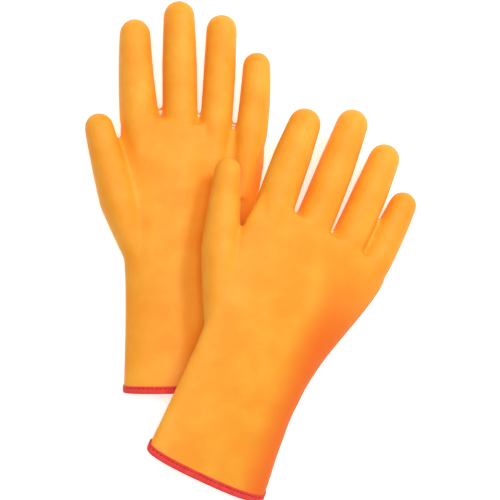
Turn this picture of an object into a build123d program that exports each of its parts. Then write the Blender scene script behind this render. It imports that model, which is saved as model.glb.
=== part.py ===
from build123d import *
import os
from collections import namedtuple
from math import cos, pi, radians, sin, sqrt

# A pair of insulated gauntlet gloves, coated in PVC, laid one partly on the other on a table.
# The left glove lies palm up. The right glove lies palm down and leans on the left one.
# Each glove: a seamless dipped shell, a foam layer and a brushed lining. The two soft layers are cut
# as palm, back and thumb panels. A folded binding, sewn with a row of lock stitches, closes the hem.
#
# Millimetres. A glove's own frame: u across the hand (thumb side negative), v from the hem to the
# fingertips, w up. The pair's frame: +Z up, +Y along the left glove, origin under the middle.

# Overall sizes of one glove.
LENGTH = 305.0  # hem to the tip of the middle finger
PALM_WIDTH = 112.0  # across the knuckles, without the thumb
DEPTH = 30.0  # the palm's thickness, lying unworn

# Wall, from the outside in.
PVC = 1.0
FOAM = 1.8  # with the knit that carries the PVC
LINING = 0.6
LAYER_GAP = 0.3  # adhesive film between layers, and the butt gap of a seam

# Hem binding.
TAPE = 0.6
TAPE_WIDTH = 6.0
STITCH_INSET = 2.0  # from the tape's edge to the stitch row
STITCH_LENGTH = 2.8
STITCH_PITCH = 4.4
THREAD = 0.45
THREAD_SEAT = 0.1  # between a stitch and the face of the tape

# How the pair lies.
FLATTENED = 0.3  # the left glove's underside spreads on the table by this much
HEM_LIFT = 2.2  # the left glove's bound hem is higher than its palm by this much
LEAN = 17.0  # degrees: the right glove's thumb side is raised
LEFT_TURN = 1.0  # degrees, anticlockwise seen from above
RIGHT_TURN = -22.0
RIGHT_HEM = (10.8, -58.8)  # the middle of the right hem, from the middle of the left hem
REST_CLEARANCE = 0.5  # between the two gloves where one rests on the other

# Shape of the palm and cuff sections.
FULLNESS = 2.5  # superellipse exponent; 2 is an ellipse
SECTION_POINTS = 12
PRESS_START, PRESS_END = -0.15, 0.55  # shares of the half width over which a flank gets pressed
HEM_WASTE = 22.0  # trimmed off at the hem

# A stall's root is buried in the palm, this far behind its knuckle.
ROOT_LENGTH = 46.0
ROOT_SHARE = 0.45  # of the knuckle radius

# Rake: degrees by which the hem's upper lip reaches out. Press: share of the half depth lost.
# Station: v, left and right edge, depth, and how far its left edge is ahead of its right edge.
# Digit: knuckle and tip as (u, v, w), and their radii. Seam: a point and normal of the thumb seam.
# Every v is in percent of LENGTH, u in percent of PALM_WIDTH, and depth, w and radius of DEPTH.
Glove = namedtuple("Glove", "name palm_up press rake stations digits seam_point seam_normal")
Station = namedtuple("Station", "v left right depth ahead")
Digit = namedtuple("Digit", "name knuckle tip knuckle_radius tip_radius")

LEFT = Glove(
    name="left",
    palm_up=True,
    press=0.36,
    rake=6.0,
    stations=[
        Station(0.0, -44.4, 44.4, 90, 0),
        Station(20.0, -42.0, 41.0, 93, 0),
        Station(37.0, -41.2, 43.6, 100, 0),
        Station(52.0, -41.6, 53.5, 101, 0),
        Station(62.0, -42.6, 57.5, 97, 2),
        Station(68.8, -40.5, 55.5, 80, 5),
    ],
    digits=[
        Digit("thumb", (-46.4, 51.8, 61), (-60.0, 71.3, 84), 50, 38.0),
        Digit("index", (-29.0, 69.5, 48.5), (-31.7, 95.6, 38.0), 48.7, 38.7),
        Digit("middle", (-2.7, 69.5, 46.0), (-1.8, 100.0, 39.6), 46.0, 40.0),
        Digit("ring", (22.8, 67.2, 42.5), (27.7, 96.2, 39.0), 43.0, 39.6),
        Digit("little", (44.8, 64.3, 43.0), (51.8, 86.4, 35.0), 43.7, 35.4),
    ],
    seam_point=(-41.0, 57.4, 53),
    seam_normal=(-0.91, -0.15, 0.38),
)
RIGHT = Glove(
    name="right",
    palm_up=False,
    press=0.30,
    rake=28.0,
    stations=[
        Station(0.0, -46.6, 46.0, 90, 0),
        Station(20.0, -43.2, 42.6, 93, 0),
        Station(37.0, -42.3, 48.2, 100, 0),
        Station(52.0, -43.0, 62.0, 101, 0),
        Station(61.0, -43.2, 66.6, 97, 2),
        Station(67.3, -41.0, 64.6, 80, 6),
    ],
    digits=[
        Digit("thumb", (-49.1, 53.5, 36), (-66.2, 75.7, 13), 50, 33.0),
        Digit("index", (-26.6, 68.9, 48.0), (-27.8, 94.9, 22.0), 49.0, 40.6),
        Digit("middle", (4.0, 68.9, 48.0), (4.9, 98.9, 28.0), 47.6, 40.8),
        Digit("ring", (31.8, 67.2, 46.0), (35.7, 94.1, 34.0), 45.4, 40.0),
        Digit("little", (54.8, 62.3, 46.0), (60.9, 84.6, 40.0), 44.6, 36.4),
    ],
    seam_point=(-42.3, 60.5, 50),
    seam_normal=(-0.91, -0.15, -0.38),
)

# Depth below the outside of the glove of each layer's outer face.
FOAM_FACE = PVC + LAYER_GAP
LINING_FACE = FOAM_FACE + FOAM + LAYER_GAP
WALL = LINING_FACE + LINING


def along(percent):
    return percent / 100 * LENGTH


def across(percent):
    return percent / 100 * PALM_WIDTH


def deep(percent):
    return percent / 100 * DEPTH


def point(glove_percent):
    """A (u, v, w) table entry in millimetres."""
    u, v, w = glove_percent
    return Vector(across(u), along(v), deep(w))


def smooth_step(x):
    """0 up to 0, 1 from 1 on, and a smooth rise between them."""
    x = min(1.0, max(0.0, x))
    return x * x * (3 - 2 * x)


def rounded(x):
    """A cosine or sine bent from a circle to a superellipse."""
    return abs(x) ** (2 / FULLNESS) * (1 if x > 0 else -1)


def section_point(glove, station, v, angle, inset):
    """A point of a palm or cuff section, on a face at a depth below the outside."""
    centre = across((station.left + station.right) / 2)
    half_width = across((station.right - station.left) / 2)
    half_depth = deep(station.depth / 2)
    share = rounded(cos(angle))
    pressed_side = share if glove.palm_up else -share
    pressed = smooth_step((pressed_side - PRESS_START) / (PRESS_END - PRESS_START))
    half = half_depth * (1 - glove.press * pressed)
    u = centre + (half_width - inset) * share
    w = (half - inset) * rounded(sin(angle))
    if glove.palm_up:
        w += half - FLATTENED + (HEM_LIFT if v <= 0 else 0)
    else:
        w += 2 * half_depth - half
    return u, v - along(station.ahead / 2) * share, w


def section_wire(glove, station, v, inset):
    angles = [pi / 2 + 2 * pi * i / SECTION_POINTS for i in range(SECTION_POINTS)]
    points = [section_point(glove, station, v, angle, inset) for angle in angles]
    return Wire([Spline(*points, periodic=True)])


def sleeve(glove, inset):
    """The cuff and palm without digits, from beyond the hem to the knuckles."""
    first, *middle, last = glove.stations
    wires = [section_wire(glove, first, -HEM_WASTE - inset, inset)]
    wires += [section_wire(glove, s, along(s.v), inset) for s in (first, *middle)]
    wires.append(section_wire(glove, last, along(last.v) - inset, inset))
    return Solid.make_loft(wires)


def stall(digit, inset):
    """A finger or thumb: it widens from a buried root to the knuckle and tapers to a round tip."""
    knuckle, tip = point(digit.knuckle), point(digit.tip)
    axis = (tip - knuckle).normalized()
    wide = deep(digit.knuckle_radius) - inset
    narrow = deep(digit.tip_radius) - inset
    root = ROOT_SHARE * deep(digit.knuckle_radius) - inset
    dome_start = ROOT_LENGTH + (tip - knuckle).length - deep(digit.tip_radius)
    slant = narrow * sqrt(0.5)
    side = Polyline((root, 0, 0), (wide, 0, ROOT_LENGTH), (narrow, 0, dome_start))
    dome = ThreePointArc(side @ 1, (slant, 0, dome_start + slant), (0, 0, dome_start + narrow))
    closing = Polyline(dome @ 1, (0, 0, 0), side @ 0)
    profile = make_face(Wire([*side.edges(), dome, *closing.edges()]))
    return Plane(origin=knuckle - axis * ROOT_LENGTH, z_dir=axis) * revolve(profile, Axis.Z)


def hem_plane(glove):
    """Through the middle of the mouth, with its normal into the glove."""
    rake = radians(glove.rake)
    mouth = (0, 0, deep(glove.stations[0].depth / 2))
    return Plane(origin=mouth, x_dir=(1, 0, 0), z_dir=(0, cos(rake), sin(rake)))


def beyond_hem(glove, start, end=2 * LENGTH):
    """Everything between two distances from the hem plane."""
    return hem_plane(glove) * Pos(0, 0, (start + end) / 2) * Box(3 * LENGTH, 3 * LENGTH, end - start)


def hand(glove, inset):
    """The whole glove as one solid, its face at a depth below the outside."""
    form = sleeve(glove, inset)
    for digit in glove.digits:
        form = form + stall(digit, inset)
    return form


def layer(glove, face, thickness):
    """One layer of the wall, open at the hem."""
    skin = hand(glove, face) - hand(glove, face + thickness)
    return skin & beyond_hem(glove, 0)


def thumb_side(glove, gap):
    """Everything on the thumb's side of its seam, beyond a gap."""
    normal = Vector(*glove.seam_normal).normalized()
    seam = Plane(point(glove.seam_point), x_dir=normal.cross(Vector(0, 0, 1)), z_dir=normal)
    reach = LENGTH / 5
    return seam * Pos(0.75 * reach, 0, reach + gap) * Box(3.5 * reach - 2 * gap, 4 * reach, 2 * reach)


def parting(glove, gap):
    """Everything above the side seams by a positive gap, or below them by a negative one.

    The seams run along the middle of both flanks, level to the knuckles, then with the fingers."""
    widest = max(glove.stations, key=lambda station: station.right)
    near, far = (Vector(*section_point(glove, widest, 1, angle, 0)) for angle in (pi, 0))
    fingers = glove.digits[1:]
    knuckles = sum(point(digit.knuckle).Y for digit in fingers) / len(fingers)
    tips = sum(point(digit.tip).Z for digit in fingers) / len(fingers)
    level = (near.Z + far.Z) / 2
    droop = (tips - level) / (LENGTH - knuckles)
    middle = ((near.X + far.X) / 2, 0, level)
    plane = Plane(middle, x_dir=(0, 1, 0), z_dir=(far.X - near.X, 0, far.Z - near.Z))
    bounds = LENGTH if gap > 0 else -LENGTH
    outline = Polyline(
        (-LENGTH, gap),
        (knuckles, gap),
        (2 * LENGTH, gap + droop * (2 * LENGTH - knuckles)),
        (2 * LENGTH, bounds),
        (-LENGTH, bounds),
        close=True,
    )
    return extrude(plane * make_face(outline), amount=LENGTH, both=True)


def panels(glove, skin):
    """A soft layer cut at its seams."""
    gap = LAYER_GAP / 2
    body = skin - thumb_side(glove, -gap)
    upper, lower = ("palm", "back") if glove.palm_up else ("back", "palm")
    return {
        upper: body & parting(glove, gap),
        lower: body & parting(glove, -gap),
        "thumb": skin & thumb_side(glove, gap),
    }


def pvc_shell(glove):
    """The dipped shell. The left one stands on the patch that its own weight flattens."""
    shell = layer(glove, 0, PVC)
    if glove.palm_up:
        shell = shell & Pos(0, LENGTH / 2, LENGTH) * Box(2 * LENGTH, 3 * LENGTH, 2 * LENGTH)
    return shell


def binding(glove):
    """The tape, folded over the hem, one leg outside the shell and one inside the lining."""
    fold = -LAYER_GAP - TAPE
    tape = sleeve(glove, fold) - sleeve(glove, WALL - fold)
    slot = sleeve(glove, -LAYER_GAP) - sleeve(glove, WALL + LAYER_GAP)
    tape = tape & beyond_hem(glove, fold, fold + TAPE_WIDTH)
    return tape - (slot & beyond_hem(glove, -LAYER_GAP))


def stitch_row(glove, face, outside):
    """Straight threads round one face of the tape: tangents on its outside, chords on its inside."""
    height = TAPE_WIDTH - TAPE - LAYER_GAP - STITCH_INSET
    row = hem_plane(glove).offset(height)
    loop = section(sleeve(glove, face), section_by=row).faces()[0].outer_wire()
    top_to_middle = loop.bounding_box().center() - loop @ 0
    side = 1 if (loop % 0).cross(Vector(0, 1, 0)).dot(top_to_middle) < 0 else -1
    count = round(loop.length / STITCH_PITCH)
    reach = STITCH_LENGTH / 2 / loop.length
    lift = THREAD_SEAT + THREAD / 2
    threads = []
    for i in range(count):
        at = (i + 0.5) / count
        start = loop @ (at - reach)
        end = loop @ (at + reach)
        run = loop % at if outside else end - start
        outward = run.cross(Vector(0, 1, 0)).normalized() * side
        seat = loop @ at + outward * lift if outside else (start + end) * 0.5 - outward * lift
        spot = Plane(seat, x_dir=run, z_dir=outward)
        threads += (spot * Box((end - start).length, THREAD, THREAD)).solids()
    return threads


def stitches(glove):
    """Both faces of the lock-stitch row that closes the tape."""
    outer = stitch_row(glove, -LAYER_GAP - TAPE, True)
    inner = stitch_row(glove, WALL + LAYER_GAP + TAPE, False)
    return Compound(outer + inner)


def glove_parts(glove):
    """Every piece of one glove, in the glove's own frame."""
    pieces = {"pvc_shell": pvc_shell(glove)}
    soft_layers = (("foam", FOAM_FACE, FOAM), ("lining", LINING_FACE, LINING))
    for name, face, thickness in soft_layers:
        for panel, shape in panels(glove, layer(glove, face, thickness)).items():
            pieces[f"{name}_{panel}"] = shape
    pieces["cuff_binding"] = binding(glove)
    pieces["binding_stitches"] = stitches(glove)
    return {f"{glove.name}_{name}": shape for name, shape in pieces.items()}


def outside_of(glove, pieces):
    """What other things can touch of a glove."""
    touched = [pieces[f"{glove.name}_{name}"] for name in ("pvc_shell", "cuff_binding")]
    return Compound([solid for piece in touched for solid in piece.solids()])


def resting_height(lower, upper):
    """The height at which the upper glove meets the lower one or the table."""
    height = 4 * DEPTH
    room = height
    while room > 0.02:
        lifted = Pos(0, 0, height) * upper
        room = min(lower.distance_to(lifted) - REST_CLEARANCE, lifted.bounding_box().min.Z)
        height -= max(room, 0)
    return height


left_parts = glove_parts(LEFT)
right_parts = glove_parts(RIGHT)

left_place = Rot(0, 0, LEFT_TURN)
right_turn = Rot(0, 0, RIGHT_TURN) * Rot(0, LEAN, 0)
left_outside = left_place * outside_of(LEFT, left_parts)
right_outside = Pos(*RIGHT_HEM, 0) * right_turn * outside_of(RIGHT, right_parts)
right_place = Pos(*RIGHT_HEM, resting_height(left_outside, right_outside)) * right_turn

assembly = {name: left_place * shape for name, shape in left_parts.items()}
assembly |= {name: right_place * shape for name, shape in right_parts.items()}
box = Compound([solid for shape in assembly.values() for solid in shape.solids()]).bounding_box()
recentre = Pos(-box.center().X, -box.center().Y, 0)

os.makedirs("parts", exist_ok=True)
for name, shape in assembly.items():
    export_step(recentre * shape, f"parts/{name}.step")
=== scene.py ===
from math import cos, pi, radians, sin

import bpy
import numpy as np
from mathutils import Matrix, Vector


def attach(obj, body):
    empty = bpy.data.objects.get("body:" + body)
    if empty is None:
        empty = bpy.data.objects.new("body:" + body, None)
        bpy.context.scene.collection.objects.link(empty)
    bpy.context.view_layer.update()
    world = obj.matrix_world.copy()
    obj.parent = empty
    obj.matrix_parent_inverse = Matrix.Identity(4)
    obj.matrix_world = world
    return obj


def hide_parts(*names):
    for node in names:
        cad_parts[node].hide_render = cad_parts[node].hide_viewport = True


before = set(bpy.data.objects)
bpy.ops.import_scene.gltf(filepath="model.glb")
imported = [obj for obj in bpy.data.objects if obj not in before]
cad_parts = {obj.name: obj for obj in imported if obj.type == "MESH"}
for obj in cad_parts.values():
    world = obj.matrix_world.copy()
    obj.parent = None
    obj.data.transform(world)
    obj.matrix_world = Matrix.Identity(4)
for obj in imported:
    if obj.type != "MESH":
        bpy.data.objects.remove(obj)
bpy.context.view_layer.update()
bpy.ops.object.select_all(action='DESELECT')


# The shells: one seamless dipped PVC skin a glove, 1 mm thick. The left glove lies palm up on the
# table, and the right one palm down, leaning on it. Each is made in its own frame, in millimetres:
# u across the hand (thumb side negative), v from the hem to the fingertips, w up. It is then laid down.

MM = 0.001

# stations: v, left edge, right edge, depth, how far the left edge is ahead of the right one
# digits: root, knuckle, middle and tip as (u, v, w), and the radii at knuckle, middle and tip
# press: share of the half depth lost on the pressed flank; rake: the hem's upper lip reaches out
LEFT = {
    "name": "left", "palm_up": True,
    "press": 0.36, "rake": 4.0, "skew": 0.0, "trim": 1.2,
    "turn": 1.0, "lean": 0.0, "hem": (-48.88, -110.94, 0.0),
    "stations": [
        (0, -50.5, 50.3, 27, 0), (26, -49.4, 48.2, 27, 0), (61, -48.1, 46.2, 28, 0),
        (88, -47.6, 46.8, 29, 0),
        (108, -48.6, 49.0, 30, 0), (135, -48.0, 54.2, 30.3, 0), (158, -47.8, 58.8, 30.3, 0),
        (180, -48.9, 62.6, 30.2, 4), (198, -50.2, 63.2, 30.0, 12), (209, -47.8, 60.4, 28.5, 20),
    ],
    "digits": {
        "thumb": [
            (-29, 86, 13), (-50.5, 150, 18), (-60.0, 182, 22), (-67.5, 217.8, 26),
            15.8, 13.2, 11.4,
        ],
        "index": [
            (-27, 158, 15), (-35.0, 214, 14.8), (-35.7, 247, 13.6), (-36.8, 292.0, 11.6),
            15.6, 13.9, 12.2,
        ],
        "middle": [
            (-3, 160, 14.5), (-2.8, 214, 13.9), (-2.3, 255, 13.4), (-2.0, 305.5, 12.2),
            13.8, 13.7, 12.4,
        ],
        "ring": [
            (20, 158, 14.5), (25.0, 207, 13.7), (28.8, 248, 13.0), (31.6, 294.2, 12.1),
            12.6, 12.6, 12.1,
        ],
        "little": [
            (42, 150, 14), (52.4, 200, 13.6), (56.6, 231, 12.6), (58.2, 264.3, 11.2),
            12.7, 12.0, 11.0,
        ],
    },
}
RIGHT = {
    "name": "right", "palm_up": False,
    "press": 0.30, "rake": 28.0, "skew": 0.075, "trim": 0.0,
    "turn": -22.0, "lean": 17.0, "hem": (-38.08, -169.74, 19.85),
    "stations": [
        (0, -52.2, 51.2, 27, 0), (30, -50.2, 48.6, 27, 0), (61, -48.4, 47.2, 28, 0),
        (90, -47.4, 49.4, 29, 0),
        (113, -47.4, 54.3, 30, 0), (135, -47.7, 61.6, 30.3, 0), (158, -48.2, 69.7, 30.3, 0),
        (178, -48.6, 74.9, 30.2, 4), (196, -47.4, 76.7, 30.0, 11), (206, -44.2, 72.8, 28.0, 17),
    ],
    "digits": {
        "thumb": [
            (-32.6, 98, 15), (-55, 163, 10.8), (-64.7, 193, 7.6), (-74.2, 231, 4.2),
            15.2, 12.8, 10.2,
        ],
        "index": [
            (-25.5, 156, 15.5), (-30.2, 212, 14.6), (-29.4, 250, 11.6), (-30.0, 289.0, 7.4),
            15.3, 14.6, 12.7,
        ],
        "middle": [
            (3, 156, 15.2), (4.7, 212, 14.6), (5.9, 254, 12.2), (5.4, 302.8, 8.6),
            15.0, 14.3, 12.5,
        ],
        "ring": [
            (30.6, 154, 14.5), (36.7, 207, 14.0), (39.3, 246, 12.6), (40.2, 287.8, 10.2),
            14.2, 13.8, 12.2,
        ],
        "little": [
            (55, 144, 14), (63.6, 198, 13.6), (67.4, 230, 12.8), (68.6, 258.8, 12.0),
            13.2, 12.0, 10.9,
        ],
    },
}
WASTE = 16.0  # the form runs on past the hem by this much, and is then cut back
FULLNESS = 2.5  # superellipse exponent of the palm and cuff sections
PRESS_START, PRESS_SPAN = -0.15, 0.7  # shares of the half width over which a flank gets pressed
FLATTENED = 0.3  # the left glove's underside spreads on the table by this much
FLAT_PATCH = 0.15  # and lies this high
HEM_LIFT, LIFT_LENGTH = 2.2, 30.0  # the left hem is this much higher, over this length
ROOT_SHARE = 0.6  # of the knuckle radius, where a digit starts in the palm
BLEND = 8.0  # stations are blended over this much to each side


def smooth_step(x):
    x = np.clip(x, 0.0, 1.0)
    return x * x * (3 - 2 * x)


def place(glove):
    """From the glove's own frame to the table."""
    lay = Matrix.Rotation(radians(glove["turn"]), 4, 'Z') @ Matrix.Rotation(radians(glove["lean"]), 4, 'Y')
    return Matrix.Translation(Vector(glove["hem"]) * MM) @ lay


def section(glove, v, angle):
    """Points of the palm and cuff: u and w at distances v from the hem, seen round the section."""
    table = np.array(glove["stations"], dtype=float)
    ahead = np.interp(v, table[:, 0], table[:, 4])
    samples = np.linspace(-BLEND, BLEND, 9)[:, None]
    at = np.clip(v[None, :] + samples, 0, table[-1, 0])
    left, right, depth = (np.interp(at, table[:, 0], table[:, k]).mean(axis=0) for k in (1, 2, 3))
    share = np.sign(np.cos(angle)) * np.abs(np.cos(angle)) ** (2 / FULLNESS)
    rise = np.sign(np.sin(angle)) * np.abs(np.sin(angle)) ** (2 / FULLNESS)
    side = share if glove["palm_up"] else -share
    half = depth / 2 * (1 - glove["press"] * smooth_step((side - PRESS_START) / PRESS_SPAN))
    u = (left + right) / 2 + (right - left) / 2 * share
    w = half * rise + (half if glove["palm_up"] else depth - half)
    if glove["palm_up"]:
        w = w + HEM_LIFT * smooth_step(1 - v / LIFT_LENGTH) - FLATTENED
    return u, v - ahead / 2 * share, w


def wrapped_grid(around, lengthwise, shape):
    """A sheet rolled into a closed tube by a function of the angle and the share of its length."""
    bpy.ops.mesh.primitive_grid_add(x_subdivisions=around, y_subdivisions=lengthwise, size=2)
    tube = bpy.context.object
    co = np.empty(len(tube.data.vertices) * 3)
    tube.data.vertices.foreach_get("co", co)
    co = co.reshape(-1, 3)
    co[:] = shape((co[:, 0] + 1) * pi, (co[:, 1] + 1) / 2)
    tube.data.vertices.foreach_set("co", co.ravel() * MM)
    bpy.ops.object.mode_set(mode='EDIT')
    bpy.ops.mesh.select_all(action='SELECT')
    bpy.ops.mesh.remove_doubles(threshold=0.00002)
    bpy.ops.mesh.fill_holes(sides=0)
    bpy.ops.mesh.select_all(action='SELECT')
    bpy.ops.mesh.normals_make_consistent(inside=False)
    bpy.ops.object.mode_set(mode='OBJECT')
    return tube


def sleeve_shape(glove):
    end = glove["stations"][-1][0]

    def shape(angle, share):
        v = -WASTE + (end + WASTE) * share
        return np.stack(section(glove, v, angle), axis=1)

    return shape


def digit_shape(digit):
    """A stall on a slightly bent axis: it swells from its root to the knuckle and ends in a dome."""
    root, knuckle, middle, tip = (np.array(p, dtype=float) for p in digit[:4])
    knuckle_radius, middle_radius, tip_radius = digit[4:]
    path = np.stack([root, knuckle, middle, tip])
    stops = np.concatenate([[0], np.cumsum(np.linalg.norm(np.diff(path, axis=0), axis=1))])
    length = stops[-1]
    dome = length - tip_radius
    fit = [np.polyfit(stops, path[:, k], 2) for k in range(3)]

    def shape(angle, share):
        s = length * share
        turned = (s - dome) / tip_radius * pi / 2  # round the dome, past its start
        at = np.minimum(s, dome) + np.where(s > dome, tip_radius * np.sin(turned), 0)
        centre = np.stack([np.polyval(f, at) for f in fit], axis=1)
        run = np.stack([np.polyval(np.polyder(f), at) for f in fit], axis=1)
        run /= np.linalg.norm(run, axis=1)[:, None]
        radii = [ROOT_SHARE * knuckle_radius, knuckle_radius, middle_radius, tip_radius]
        radius = np.interp(s, [*stops[:3], dome], radii)
        radius = np.where(s > dome, tip_radius * np.cos(turned), radius)
        across = np.cross(run, (0.0, 0.0, 1.0))
        across /= np.linalg.norm(across, axis=1)[:, None]
        up = np.cross(across, run)
        round_way = across * np.cos(angle)[:, None] - up * np.sin(angle)[:, None]
        return centre + round_way * radius[:, None]

    return shape


def hem_plane(glove):
    rake = radians(glove["rake"])
    point = Vector((0, glove["trim"], glove["stations"][0][3] / 2)) * MM
    return point, Vector((glove["skew"] * cos(rake), cos(rake), sin(rake)))


def glove_form(glove):
    """The outside of a glove as one smooth skin, open at the hem, laid in its place."""
    bpy.ops.object.select_all(action='DESELECT')
    parts = [wrapped_grid(97, 120, sleeve_shape(glove))]
    parts += [wrapped_grid(49, 80, digit_shape(digit)) for digit in glove["digits"].values()]
    for part in parts:
        part.select_set(True)
    bpy.context.view_layer.objects.active = parts[0]
    bpy.ops.object.join()
    form = bpy.context.object
    form.data.remesh_voxel_adaptivity = 0
    for voxel, passes in ((1.0, 22), (1.55, 7)):  # fine enough for the slits, then light enough to keep
        form.data.remesh_voxel_size = voxel * MM
        bpy.ops.object.voxel_remesh()
        relax = form.modifiers.new("relax", 'SMOOTH')
        relax.factor = 0.5
        relax.iterations = passes
        bpy.ops.object.modifier_apply(modifier="relax")
    point, normal = hem_plane(glove)
    bpy.ops.object.mode_set(mode='EDIT')
    bpy.ops.mesh.select_all(action='SELECT')
    bpy.ops.mesh.bisect(plane_co=point, plane_no=normal, clear_inner=True, clear_outer=False)
    bpy.ops.object.mode_set(mode='OBJECT')
    if glove["palm_up"]:
        for vertex in form.data.vertices:
            vertex.co.z = max(vertex.co.z, FLAT_PATCH * MM)
    form.data.transform(place(glove))
    return form


def skin_layer(form, name, depth, thickness):
    """A layer of a glove's wall: the outside form sunk by a depth, then given its thickness."""
    bpy.ops.object.select_all(action='DESELECT')
    skin = form.copy()
    skin.data = form.data.copy()
    skin.name = skin.data.name = name
    bpy.context.collection.objects.link(skin)
    skin.select_set(True)
    bpy.context.view_layer.objects.active = skin
    if depth:
        sink = skin.modifiers.new("sink", 'DISPLACE')
        sink.direction = 'NORMAL'
        sink.mid_level = 0
        sink.strength = -depth * MM
        bpy.ops.object.modifier_apply(modifier="sink")
    wall = skin.modifiers.new("wall", 'SOLIDIFY')
    wall.thickness = thickness * MM
    wall.offset = -1
    wall.use_rim = True
    bpy.ops.object.modifier_apply(modifier="wall")
    bpy.ops.object.shade_smooth()
    return skin


# PVC plastisol, dipped over the knit in one coat, cured satin. It gives the eye an even, slightly
# waxy orange skin with soft broad highlights, a faint mottle where the coat is thinner, and deep
# red-orange where two surfaces of it face each other.

def linear(code):
    """An sRGB hex colour as linear RGBA."""
    parts = [int(code[i:i + 2], 16) / 255 for i in (1, 3, 5)]
    return [*(c / 12.92 if c <= 0.04045 else ((c + 0.055) / 1.055) ** 2.4 for c in parts), 1.0]


def node(tree, kind, settings=None, **links):
    """A shader node with its settings, its inputs linked or set by name."""
    made = tree.nodes.new(kind)
    for key, value in (settings or {}).items():
        setattr(made, key, value)
    for key, value in links.items():
        socket = made.inputs[int(key[1:])] if key[0] == "_" else made.inputs[key.replace("_", " ")]
        if isinstance(value, bpy.types.NodeSocket):
            tree.links.new(value, socket)
        else:
            socket.default_value = value
    return made


def material(name):
    made = bpy.data.materials.new(name)
    made.use_nodes = True
    shader = made.node_tree.nodes["Principled BSDF"]
    return made, made.node_tree, shader


def ramp(tree, factor, stops):
    made = node(tree, 'ShaderNodeValToRGB', _0=factor)
    elements = made.color_ramp.elements
    while len(elements) < len(stops):
        elements.new(0.5)
    for element, (position, colour) in zip(elements, stops):
        element.position = position
        element.color = linear(colour)
    return made.outputs["Color"]


pvc, tree, shader = material("dipped satin PVC")
place_on = node(tree, 'ShaderNodeTexCoord').outputs["Object"]
mottle = node(tree, 'ShaderNodeTexNoise', Vector=place_on, Scale=1 / 0.028, Detail=3.0, Roughness=0.55)
colour = ramp(tree, mottle.outputs["Fac"], [(0.36, "#FA9C26"), (0.5, "#FBA32C"), (0.66, "#FCAB34")])

# painted shade: the little-finger side of the right cuff, where it curves away from the light, is painted a
# deeper orange
turn = radians(RIGHT["turn"])
hem_at = Vector(RIGHT["hem"]) * MM
shares = []
for direction, start, end in (((cos(turn), sin(turn), 0), 22, 50), ((sin(turn), -cos(turn), 0), -205, -120)):
    start, end = (at * MM + hem_at.dot(Vector(direction)) for at in (start, end))
    reach = node(tree, 'ShaderNodeVectorMath', {"operation": 'DOT_PRODUCT'}, _0=place_on, _1=direction)
    smooth = {"interpolation_type": 'SMOOTHSTEP'}
    share = node(tree, 'ShaderNodeMapRange', smooth, _0=reach.outputs["Value"], _1=start, _2=end)
    shares.append(share.outputs["Result"])
# the band of painted shade: across the cuff's flank, times along its lower length
painted_shade_band = node(tree, 'ShaderNodeMath', {"operation": 'MULTIPLY'}, _0=shares[0], _1=shares[1])
# the mottled orange, mixed toward the painted shade's deeper orange inside the band
mottle_and_painted_shade = node(tree, 'ShaderNodeMix', {"data_type": 'RGBA'}, _6=colour, _7=linear("#F5701A"))
tree.links.new(painted_shade_band.outputs["Value"], mottle_and_painted_shade.inputs["Factor"])
tree.links.new(mottle_and_painted_shade.outputs[2], shader.inputs["Base Color"])
shader.inputs["IOR"].default_value = 1.53
shader.inputs["Specular IOR Level"].default_value = 0.25
streak = node(tree, 'ShaderNodeTexNoise', Vector=place_on, Scale=1 / 0.012, Detail=2.0)
gloss = node(tree, 'ShaderNodeMapRange', Value=streak.outputs["Fac"], To_Min=0.5, To_Max=0.6)
tree.links.new(gloss.outputs["Result"], shader.inputs["Roughness"])
shader.inputs["Subsurface Weight"].default_value = 0.12
shader.inputs["Subsurface Radius"].default_value = (1.0, 0.35, 0.08)
shader.inputs["Subsurface Scale"].default_value = 0.002
swell = node(tree, 'ShaderNodeTexNoise', Vector=place_on, Scale=1 / 0.018, Detail=1.0)
peel = node(tree, 'ShaderNodeTexNoise', Vector=place_on, Scale=1 / 0.0016, Detail=1.0)
under = node(tree, 'ShaderNodeBump', Strength=0.35, Distance=0.0012, Height=swell.outputs["Fac"])
bump = node(tree, 'ShaderNodeBump', Strength=0.12, Distance=0.0002, Height=peel.outputs["Fac"])
tree.links.new(under.outputs["Normal"], bump.inputs["Normal"])
tree.links.new(bump.outputs["Normal"], shader.inputs["Normal"])

PVC = 1.0
forms = {}
for glove in (LEFT, RIGHT):
    name = glove["name"]
    forms[name] = glove_form(glove)
    shell = skin_layer(forms[name], f"{name}_shell", 0, PVC)
    shell.data.materials.append(pvc)
    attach(shell, f"{name}_glove")
    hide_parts(f"{name}_pvc_shell")


# The foam: open-cell sheet laminated to the knit, cut as palm, back and thumb and closed by seams.
# It lies between the shell and the lining and shows only where the wall is cut.

foam_stuff, tree, shader = material("open-cell polyurethane foam")
place_on = node(tree, 'ShaderNodeTexCoord').outputs["Object"]
cells = node(tree, 'ShaderNodeTexVoronoi', Vector=place_on, Scale=1 / 0.0008)
colour = ramp(tree, cells.outputs["Distance"], [(0.0, "#D8C98E"), (0.6, "#F2E7BE")])
tree.links.new(colour, shader.inputs["Base Color"])
shader.inputs["Roughness"].default_value = 0.95
pits = node(tree, 'ShaderNodeBump', Strength=0.6, Distance=0.0003, Height=cells.outputs["Distance"])
tree.links.new(pits.outputs["Normal"], shader.inputs["Normal"])

FOAM = 1.8
GAP = 0.3  # the adhesive film between layers
panels = ("palm", "back", "thumb")
for name, form in forms.items():
    foam = skin_layer(form, f"{name}_foam", PVC + GAP, FOAM)
    foam.data.materials.append(foam_stuff)
    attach(foam, f"{name}_glove")
    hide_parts(*(f"{name}_foam_{panel}" for panel in panels))

# The lining: a brushed cotton knit next to the hand. It gives the eye a soft, off-white, matt nap.

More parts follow.
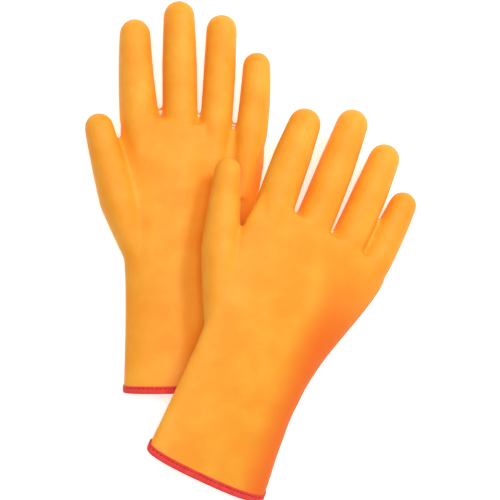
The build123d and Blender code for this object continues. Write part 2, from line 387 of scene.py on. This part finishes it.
nap, tree, shader = material("brushed cotton knit")
place_on = node(tree, 'ShaderNodeTexCoord').outputs["Object"]
fibre = node(tree, 'ShaderNodeTexNoise', Vector=place_on, Scale=1 / 0.0011, Detail=4.0, Roughness=0.7)
colour = ramp(tree, fibre.outputs["Fac"], [(0.3, "#D9D2C2"), (0.7, "#F4F0E6")])
tree.links.new(colour, shader.inputs["Base Color"])
shader.inputs["Roughness"].default_value = 0.95
shader.inputs["Sheen Weight"].default_value = 0.4
shader.inputs["Sheen Roughness"].default_value = 0.5
# the knit's wales are about 1.8 mm apart, as on a brushed terry
wales = node(tree, 'ShaderNodeTexWave', {"bands_direction": 'X'}, Vector=place_on, Distortion=1.5)
wales.inputs["Scale"].default_value = 1 / (pi * 0.0018)
rows = node(tree, 'ShaderNodeBump', Strength=0.3, Distance=0.0002, Height=wales.outputs["Fac"])
fuzz = node(tree, 'ShaderNodeBump', Strength=0.5, Distance=0.0004, Height=fibre.outputs["Fac"])
tree.links.new(rows.outputs["Normal"], fuzz.inputs["Normal"])
tree.links.new(fuzz.outputs["Normal"], shader.inputs["Normal"])

LINING = 0.6
for name, form in forms.items():
    lining = skin_layer(form, f"{name}_lining", PVC + FOAM + 2 * GAP, LINING)
    lining.data.materials.append(nap)
    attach(lining, f"{name}_glove")
    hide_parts(*(f"{name}_lining_{panel}" for panel in panels))
    bpy.data.objects.remove(form)


# The binding: a ribbed woven tape folded over the raw hem, its outer leg on the PVC and its inner
# leg on the lining. The stitch row pulls a shallow groove into it, and the fold stands off a little.

WALL = PVC + FOAM + LINING + 2 * GAP
# the tape's section: distance outside the glove's surface, height above the hem
TAPE = [
    (0.1, 5.0), (0.3, 5.12), (0.44, 4.9), (0.54, 4.3), (0.48, 3.75), (0.22, 3.25), (0.48, 2.75),
    (0.64, 1.9), (0.66, 0.9), (0.54, 0.1), (0.25, -0.5), (-0.5, -0.9), (-1.7, -1.05), (-3.2, -0.95),
    (-4.3, -0.65), (-4.75, 0.0), (-4.9, 0.9), (-4.85, 2.6), (-4.65, 3.25), (-4.85, 3.9), (-4.8, 4.8),
    (-4.65, 5.1), (-4.4, 5.0), (-4.3, 4.0), (-4.3, 0.6), (-4.0, -0.1), (-3.0, -0.4), (-1.5, -0.45),
    (-0.4, -0.3), (0.06, 0.2), (0.1, 1.5),
]
GROOVE, INNER_GROOVE = 0.22, -4.65  # how far outside the glove's surface the tape's two grooves are
STITCH_HEIGHT = 3.25


def hem_ring(glove, outside, height, count):
    """Evenly spaced points round the cuff, parallel to the hem, with their outward directions."""
    angle = np.linspace(0, 2 * pi, 4 * count, endpoint=False)
    u, _, w = section(glove, np.zeros_like(angle), angle)
    du, dw = np.roll(u, -1) - np.roll(u, 1), np.roll(w, -1) - np.roll(w, 1)
    span = np.hypot(du, dw)
    steps = np.hypot(np.roll(u, -1) - u, np.roll(w, -1) - w)
    travel = np.concatenate([[0], np.cumsum(steps)])
    even = np.linspace(0, travel[-1], count, endpoint=False)
    pick = lambda values: np.interp(even, travel, np.append(values, values[0]))
    out_u, out_w = pick(dw / span), pick(-du / span)
    u, w = pick(u) + outside * out_u, pick(w) + outside * out_w
    rake = radians(glove["rake"])
    middle = glove["stations"][0][3] / 2
    v = glove["trim"] - glove["skew"] * u + (height - (w - middle) * sin(rake)) / cos(rake)
    return np.stack([u, v, w], axis=1), np.stack([out_u, 0 * out_u, out_w], axis=1), travel[-1]


woven, tree, shader = material("ribbed woven polyester tape")
along = node(tree, 'ShaderNodeUVMap', {"uv_map": "tape"}).outputs["UV"]
# the weft ribs are 0.5 mm apart on the real tape, and are drawn 1 mm apart to show
ribs = node(tree, 'ShaderNodeTexWave', {"bands_direction": 'X', "wave_profile": 'SIN'}, Vector=along)
ribs.inputs["Scale"].default_value = 2 * pi / 20 / 0.001
ribs.inputs["Distortion"].default_value = 0.6
ribs.inputs["Detail"].default_value = 1.0
wear = node(tree, 'ShaderNodeTexNoise', Vector=along, Scale=1 / 0.006, Detail=3.0)
base = ramp(tree, wear.outputs["Fac"], [(0.3, "#E62A26"), (0.7, "#F2423A")])
shade = ramp(tree, ribs.outputs["Fac"], [(0.0, "#C01A1C"), (0.6, "#FFFFFF")])
mix = node(tree, 'ShaderNodeMix', {"data_type": 'RGBA', "blend_type": 'MULTIPLY'})
mix.inputs["Factor"].default_value = 0.22
tree.links.new(base, mix.inputs[6])
tree.links.new(shade, mix.inputs[7])
tree.links.new(mix.outputs[2], shader.inputs["Base Color"])
shader.inputs["Roughness"].default_value = 0.7
shader.inputs["Sheen Weight"].default_value = 0.35
shader.inputs["Sheen Tint"].default_value = linear("#FF9A8C")
raised = node(tree, 'ShaderNodeBump', Strength=0.5, Distance=0.0002, Height=ribs.outputs["Fac"])
tree.links.new(raised.outputs["Normal"], shader.inputs["Normal"])

RING = 360
for glove in (LEFT, RIGHT):
    name = glove["name"]
    rings = [hem_ring(glove, a, h, RING) for a, h in TAPE]
    length = rings[0][2]
    points = np.concatenate([ring[0] for ring in rings]) * MM
    rows = len(TAPE)
    faces = []
    for r in range(rows):
        low, high = r * RING, (r + 1) % rows * RING
        faces += [(low + i, low + (i + 1) % RING, high + (i + 1) % RING, high + i) for i in range(RING)]
    mesh = bpy.data.meshes.new(f"{name}_binding")
    mesh.from_pydata(points.tolist(), [], faces)
    legs = [np.hypot(b[0] - a[0], b[1] - a[1]) for a, b in zip(TAPE, TAPE[1:] + TAPE[:1])]
    across = np.concatenate([[0], np.cumsum(legs)])
    uv = mesh.uv_layers.new(name="tape")
    for f, face in enumerate(mesh.polygons):
        r, i = divmod(f, RING)
        corners = ((i, r), (i + 1, r), (i + 1, r + 1), (i, r + 1))
        for loop, (a, b) in zip(face.loop_indices, corners):
            uv.data[loop].uv = (a / RING * length * MM, across[b] * MM)
    mesh.transform(place(glove))
    tape = bpy.data.objects.new(f"{name}_binding", mesh)
    bpy.context.collection.objects.link(tape)
    bpy.ops.object.select_all(action='DESELECT')
    tape.select_set(True)
    bpy.context.view_layer.objects.active = tape
    bpy.ops.object.mode_set(mode='EDIT')
    bpy.ops.mesh.select_all(action='SELECT')
    bpy.ops.mesh.normals_make_consistent(inside=False)
    bpy.ops.object.mode_set(mode='OBJECT')
    bpy.ops.object.shade_smooth()
    mesh.materials.append(woven)
    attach(tape, f"{name}_glove")
    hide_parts(f"{name}_cuff_binding")


# The stitches: a lock-stitch row of spun polyester, 3.4 mm a stitch, sunk in the tape's groove on
# both of its legs. Each shows as a plump dash that dips into the tape at its ends.

STITCH_PITCH = 3.4
STITCH_LENGTH = 2.5
THREAD = 0.6
PROUD = 0.1  # a thread's middle stands this far out of the groove

spun, tree, shader = material("spun polyester thread")
place_on = node(tree, 'ShaderNodeTexCoord').outputs["Object"]
twist = node(tree, 'ShaderNodeTexNoise', Vector=place_on, Scale=1 / 0.0006, Detail=1.0)
colour = ramp(tree, twist.outputs["Fac"], [(0.3, "#7E0C14"), (0.7, "#9C141C")])
tree.links.new(colour, shader.inputs["Base Color"])
shader.inputs["Roughness"].default_value = 0.6
strand = node(tree, 'ShaderNodeBump', Strength=0.4, Distance=0.0001, Height=twist.outputs["Fac"])
tree.links.new(strand.outputs["Normal"], shader.inputs["Normal"])

for glove in (LEFT, RIGHT):
    name = glove["name"]
    bpy.ops.object.select_all(action='DESELECT')
    bpy.ops.mesh.primitive_uv_sphere_add(segments=8, ring_count=6, radius=0.5)
    dash = bpy.context.object
    bead = np.array([v.co[:] for v in dash.data.vertices])
    sides = [p.vertices[:] for p in dash.data.polygons]
    bpy.data.objects.remove(dash)
    points, faces = [], []
    for outside, sign in ((GROOVE, 1), (INNER_GROOVE, -1)):
        _, _, length = hem_ring(glove, outside, STITCH_HEIGHT, 100)
        count = round(length / STITCH_PITCH)
        seats, outward, _ = hem_ring(glove, outside + sign * PROUD, STITCH_HEIGHT, count)
        ahead = np.roll(seats, -1, axis=0) - np.roll(seats, 1, axis=0)
        ahead /= np.linalg.norm(ahead, axis=1)[:, None]
        for seat, out, run in zip(seats, outward * sign, ahead):
            side = np.cross(out, run)
            stretched = np.outer(bead[:, 2] * STITCH_LENGTH, run)
            stretched += np.outer(bead[:, 0] * THREAD, side)
            stretched += np.outer(bead[:, 1] * THREAD, out)
            faces += [tuple(i + len(points) * len(bead) for i in face) for face in sides]
            points.append(seat + stretched)
    mesh = bpy.data.meshes.new(f"{name}_stitches")
    mesh.from_pydata((np.concatenate(points) * MM).tolist(), [], faces)
    mesh.transform(place(glove))
    stitches = bpy.data.objects.new(f"{name}_stitches", mesh)
    bpy.context.collection.objects.link(stitches)
    bpy.ops.object.select_all(action='DESELECT')
    stitches.select_set(True)
    bpy.context.view_layer.objects.active = stitches
    bpy.ops.object.mode_set(mode='EDIT')
    bpy.ops.mesh.select_all(action='SELECT')
    bpy.ops.mesh.normals_make_consistent(inside=False)
    bpy.ops.object.mode_set(mode='OBJECT')
    bpy.ops.object.shade_smooth()
    mesh.materials.append(spun)
    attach(stitches, f"{name}_glove")
    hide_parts(f"{name}_binding_stitches")


# The table: a sheet of plain, near-white matt paper that the gloves lie on. It is kept bright, with
# a little light of its own, so that only a faint shadow shows.

paper, tree, shader = material("matt white paper")
place_on = node(tree, 'ShaderNodeTexCoord').outputs["Object"]
grain = node(tree, 'ShaderNodeTexNoise', Vector=place_on, Scale=40.0)
colour = ramp(tree, grain.outputs["Fac"], [(0.3, "#FBFBFB"), (0.7, "#FFFFFF")])
tree.links.new(colour, shader.inputs["Base Color"])
shader.inputs["Roughness"].default_value = 0.9
shader.inputs["Emission Color"].default_value = (1, 1, 1, 1)
shader.inputs["Emission Strength"].default_value = 0.45
bpy.ops.mesh.primitive_plane_add(size=8, location=(0, 0, 0))
floor = bpy.context.object
floor.name = "table"
floor.data.materials.append(paper)

# Light: a broad soft source overhead, a smaller key from the upper right, which throws the right
# glove's soft shadow on the left one, and a dim white surround.

world = bpy.data.worlds.new("studio")
world.use_nodes = True
world.node_tree.nodes["Background"].inputs["Color"].default_value = (1, 1, 1, 1)
world.node_tree.nodes["Background"].inputs["Strength"].default_value = 0.36
bpy.context.scene.world = world


def softbox(name, place_at, size, power):
    light = bpy.data.lights.new(name, 'AREA')
    light.shape = 'SQUARE'
    light.size = size
    light.energy = power
    lamp = bpy.data.objects.new(name, light)
    lamp.location = place_at
    lamp.rotation_euler = (-Vector(place_at)).to_track_quat('-Z', 'Y').to_euler()
    bpy.context.collection.objects.link(lamp)


softbox("overhead", (0.0, 0.1, 1.9), 0.9, 16)
softbox("key", (0.75, 0.75, 1.1), 0.35, 10)

# Camera: straight down on the middle of the pair, which fills the square picture from edge to edge.
# Its lens is worked out from the width it takes in.

HEIGHT = 1.6
VIEW_WIDTH = 0.389  # what the picture takes in, at the gloves' middle height
camera = bpy.data.objects.new("camera", bpy.data.cameras.new("camera"))
camera.data.sensor_width = 36
camera.data.lens = 18 / (VIEW_WIDTH / 2 / (HEIGHT - 0.02))
camera.location = (-0.0007, -0.0004, HEIGHT)
bpy.context.collection.objects.link(camera)
bpy.context.scene.camera = camera
bpy.context.scene.view_settings.view_transform = 'Standard'
